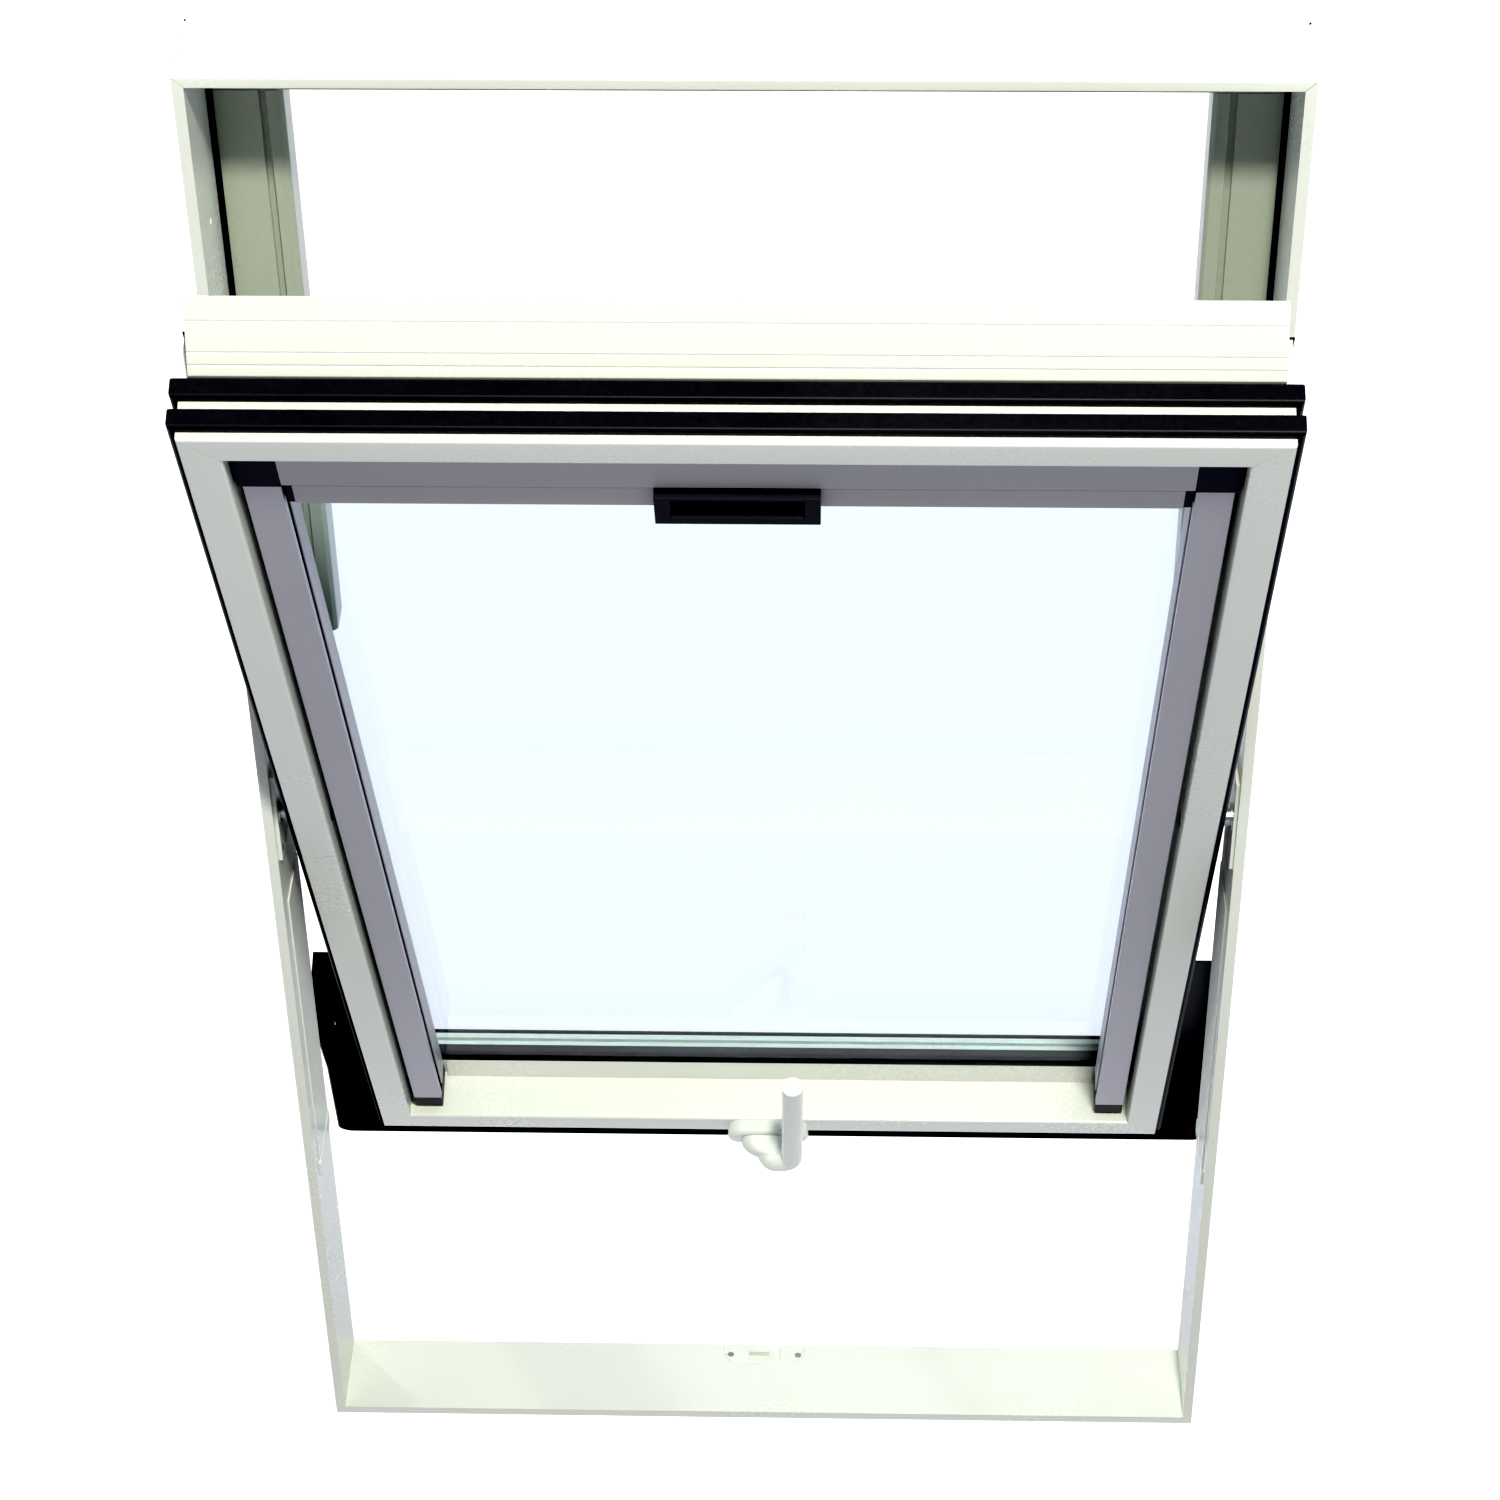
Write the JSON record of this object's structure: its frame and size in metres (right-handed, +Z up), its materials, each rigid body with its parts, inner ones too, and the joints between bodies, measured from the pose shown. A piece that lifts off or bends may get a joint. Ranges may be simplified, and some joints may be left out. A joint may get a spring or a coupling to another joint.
{
  "type": "centre-pivot roof window",
  "caption": "Centre-pivot roof window with a white frame, a sash swung open on side pivots, a lever handle, a latch bar and a roller blind.",
  "frame": {"origin": "centre of the underside of the bottom frame rail, halfway through the frame's depth", "axes": "+Z up along the frame, -Y towards the room, +X to the right as seen from the room"},
  "size_m": [0.8396, 0.6285, 1.4],
  "materials": {
    "pvc_white": "satin white PVC",
    "epdm_black": "matt black EPDM",
    "glass": "clear",
    "cladding_dark": "dark powder coat",
    "charcoal_plastic": "fine texture",
    "anodised_aluminium": "satin anodised",
    "mill_aluminium": "mill",
    "blind_fabric": "woven blackout cloth",
    "handle_white": "gloss white",
    "zinc_steel": "zinc plated",
    "bush_plastic": "moulded"
  },
  "bodies": {
    "frame": {"frame_jamb_left": "pvc_white", "frame_jamb_right": "pvc_white", "frame_rail_bottom": "pvc_white", "frame_rail_top": "pvc_white", "jamb_cover_end_clips": "pvc_white", "jamb_cover_strips": "pvc_white", "stop_gasket": "epdm_black", "upper_stop_left": "pvc_white", "upper_stop_right": "pvc_white", "upper_stop_top": "pvc_white", "side_covers": "cladding_dark", "top_hood": "cladding_dark", "hinge_plates": "zinc_steel", "hinge_pins": "zinc_steel", "hinge_plate_screws": "zinc_steel", "latch_keeper": "handle_white", "keeper_screws": "zinc_steel"},
    "sash": {"blind_channel_left": "anodised_aluminium", "blind_channel_right": "anodised_aluminium", "blind_end_cap_left": "charcoal_plastic", "blind_end_cap_right": "charcoal_plastic", "blind_fabric_strip": "blind_fabric", "blind_headbox": "anodised_aluminium", "channel_foot_caps": "charcoal_plastic", "cladding_corners": "charcoal_plastic", "edge_seal": "epdm_black", "gasket_front": "epdm_black", "gasket_rear": "epdm_black", "glazing_beads": "pvc_white", "glazing_gasket": "epdm_black", "handle_rosette": "handle_white", "hinge_bushes": "bush_plastic", "inner_pane": "glass", "latch_gearbox_case": "zinc_steel", "lower_cladding_bottom": "cladding_dark", "lower_cladding_left": "cladding_dark", "lower_cladding_right": "cladding_dark", "outer_pane": "glass", "sash_foot_profile": "pvc_white", "sash_head_profile": "pvc_white", "sash_hinge_plates": "zinc_steel", "sash_hinge_screws": "zinc_steel", "sash_rail_bottom": "pvc_white", "sash_rail_top": "pvc_white", "sash_steel_reinforcements": "zinc_steel", "sash_stile_left": "pvc_white", "sash_stile_right": "pvc_white", "setting_blocks": "bush_plastic", "spacer_bar": "charcoal_plastic", "upper_cladding": "cladding_dark"},
    "handle": {"handle_lever": "handle_white", "handle_spindle": "zinc_steel", "latch_crank": "zinc_steel"},
    "latch": {"latch_bar": "zinc_steel", "latch_pin": "zinc_steel"},
    "blind_bar": {"blind_pull_bar": "anodised_aluminium", "pull_bar_guides": "charcoal_plastic", "blind_grip": "charcoal_plastic"},
    "roller": {"blind_roller_tube": "mill_aluminium", "blind_fabric_roll": "blind_fabric"}
  },
  "joints": [
    {"name": "sash_pivot", "type": "hinge", "parent": "frame", "child": "sash", "pos_m": [0, -0.02, 0.72], "axis": [1, 0, 0], "range_deg": [-23.65, 96.35]},
    {"name": "handle_turn", "type": "hinge", "parent": "sash", "child": "handle", "pos_m": [0, 0.22135, 0.11206], "axis": [0, 0.916, 0.4011], "range_deg": [0, 90]},
    {"name": "latch_slide", "type": "slide", "parent": "sash", "child": "latch", "axis": [1, 0, 0], "range_m": [-0.018, 0]},
    {"name": "blind_slide", "type": "slide", "parent": "sash", "child": "blind_bar", "axis": [0, 0.4011, -0.916], "range_m": [0, 1.118], "deforming": ["blind_fabric_strip"]},
    {"name": "roller_spin", "type": "hinge", "parent": "sash", "child": "roller", "pos_m": [0, -0.24369, 1.24026], "axis": [1, 0, 0], "range_deg": [0, 4010]}
  ],
  "couplings": [
    {"joint": "latch_slide", "follows": "handle_turn", "m_per_rad": -0.011459},
    {"joint": "roller_spin", "follows": "blind_slide", "rad_per_m": 62.5}
  ]
}
